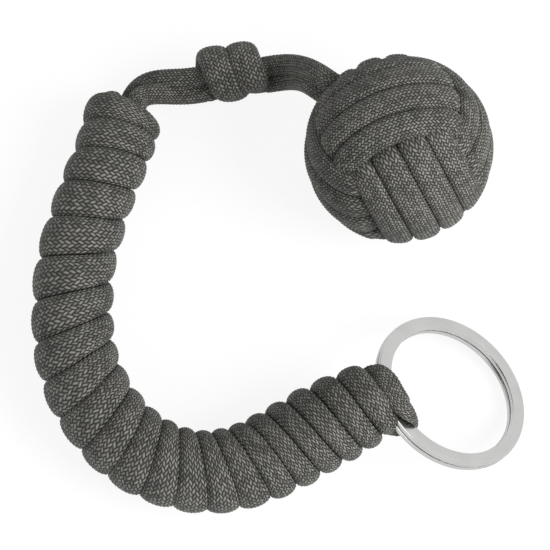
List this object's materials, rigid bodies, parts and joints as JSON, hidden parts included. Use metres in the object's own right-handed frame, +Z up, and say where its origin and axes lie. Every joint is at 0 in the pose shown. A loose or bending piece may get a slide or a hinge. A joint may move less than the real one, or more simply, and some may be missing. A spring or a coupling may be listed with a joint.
{
  "type": "monkey fist knot",
  "caption": "Cord-covered steel ball on a curved, cord-wound handle, with a stopper knot between them and a split ring in the handle's end.",
  "frame": {"origin": "centre of the object's box, on the table that it lies on", "axes": "+Z up from the table; +Y from the handle's ring end towards the knot, the longest extent; +X from the handle's middle towards the fist and the ring"},
  "size_m": [0.09, 0.0917, 0.0342],
  "materials": {
    "braided_cord": "matt",
    "nickel_plate": "polished",
    "bearing_steel": "polished"
  },
  "bodies": {
    "handle": {"handle_wrap": "braided_cord", "core_strand_a": "braided_cord", "core_strand_b": "braided_cord", "core_strand_c": "braided_cord"},
    "throat": {"throat_strand_a": "braided_cord", "throat_strand_b": "braided_cord"},
    "knot": {"stopper_knot": "braided_cord", "knot_through_strand": "braided_cord"},
    "neck": {"neck_strand_a": "braided_cord", "neck_strand_b": "braided_cord"},
    "fist": {"steel_ball": "bearing_steel", "fist_first_turns": "braided_cord", "fist_second_turns": "braided_cord", "fist_third_turns": "braided_cord"},
    "eye": {"ring_eye": "braided_cord"},
    "ring": {"split_ring": "nickel_plate"}
  },
  "joints": [
    {"name": "throat_level", "type": "hinge", "parent": "handle", "child": "throat", "pos_m": [-0.02895, 0.03425, 0.00727], "axis": [0, 0, 1], "range_deg": [-20, 75], "deforming": ["throat_strand_a", "throat_strand_b"]},
    {"name": "throat_upright", "type": "hinge", "parent": "throat", "child": "knot", "pos_m": [-0.01477, 0.0379, 0.00925], "axis": [0.091, -0.9959, 0], "range_deg": [-40, 45]},
    {"name": "neck_level", "type": "hinge", "parent": "knot", "child": "neck", "pos_m": [-0.00136, 0.03912, 0.01115], "axis": [0, 0, 1], "range_deg": [-25, 60], "deforming": ["neck_strand_a", "neck_strand_b"]},
    {"name": "neck_upright", "type": "hinge", "parent": "neck", "child": "fist", "pos_m": [0.00854, 0.02957, 0.02087], "axis": [-0.5342, -0.8453, 0], "range_deg": [-40, 40]},
    {"name": "ring_swing", "type": "hinge", "parent": "handle", "child": "eye", "pos_m": [0.01955, -0.02749, 0.01445], "axis": [-0.3256, 0.9455, 0], "range_deg": [-40, 60], "deforming": ["ring_eye"]},
    {"name": "ring_turn", "type": "hinge", "parent": "eye", "child": "ring", "pos_m": [0.031, -0.02355, 0.00804], "axis": [0.4424, 0.1523, 0.8838], "continuous": true}
  ]
}
